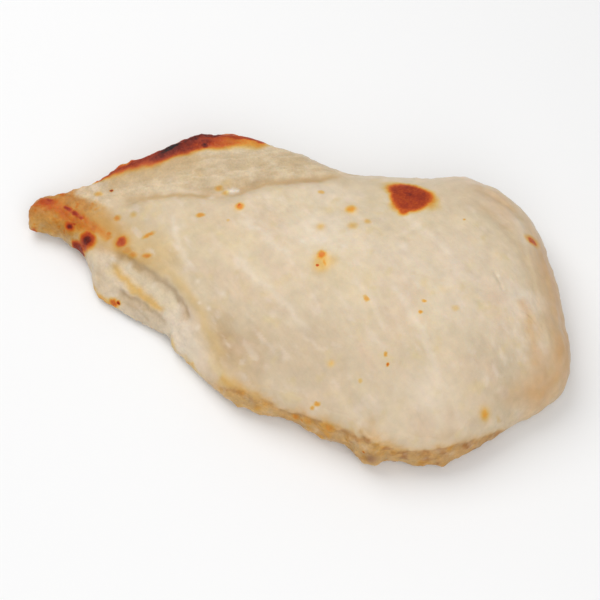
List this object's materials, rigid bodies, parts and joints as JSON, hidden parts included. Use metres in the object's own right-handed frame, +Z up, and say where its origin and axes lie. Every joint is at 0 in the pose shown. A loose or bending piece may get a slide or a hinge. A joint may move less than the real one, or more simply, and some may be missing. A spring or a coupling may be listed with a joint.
{
  "type": "cooked chicken breast",
  "caption": "Boneless, skinless cooked chicken breast lying smooth side up, with a thin browned tip, a side flap and folds beside the tip.",
  "frame": {"origin": "on the table plane, under the middle of the fillet's bounding box", "axes": "+Z up, +X from the thin tip to the broad end, +Y to the side with the side flap"},
  "size_m": [0.166, 0.094, 0.0283],
  "materials": {
    "cooked_meat": "moist satin cooked poultry, pale cream with golden edges and a few toasted spots"
  },
  "bodies": {
    "root": {"chicken_breast": "cooked_meat"}
  },
  "joints": []
}
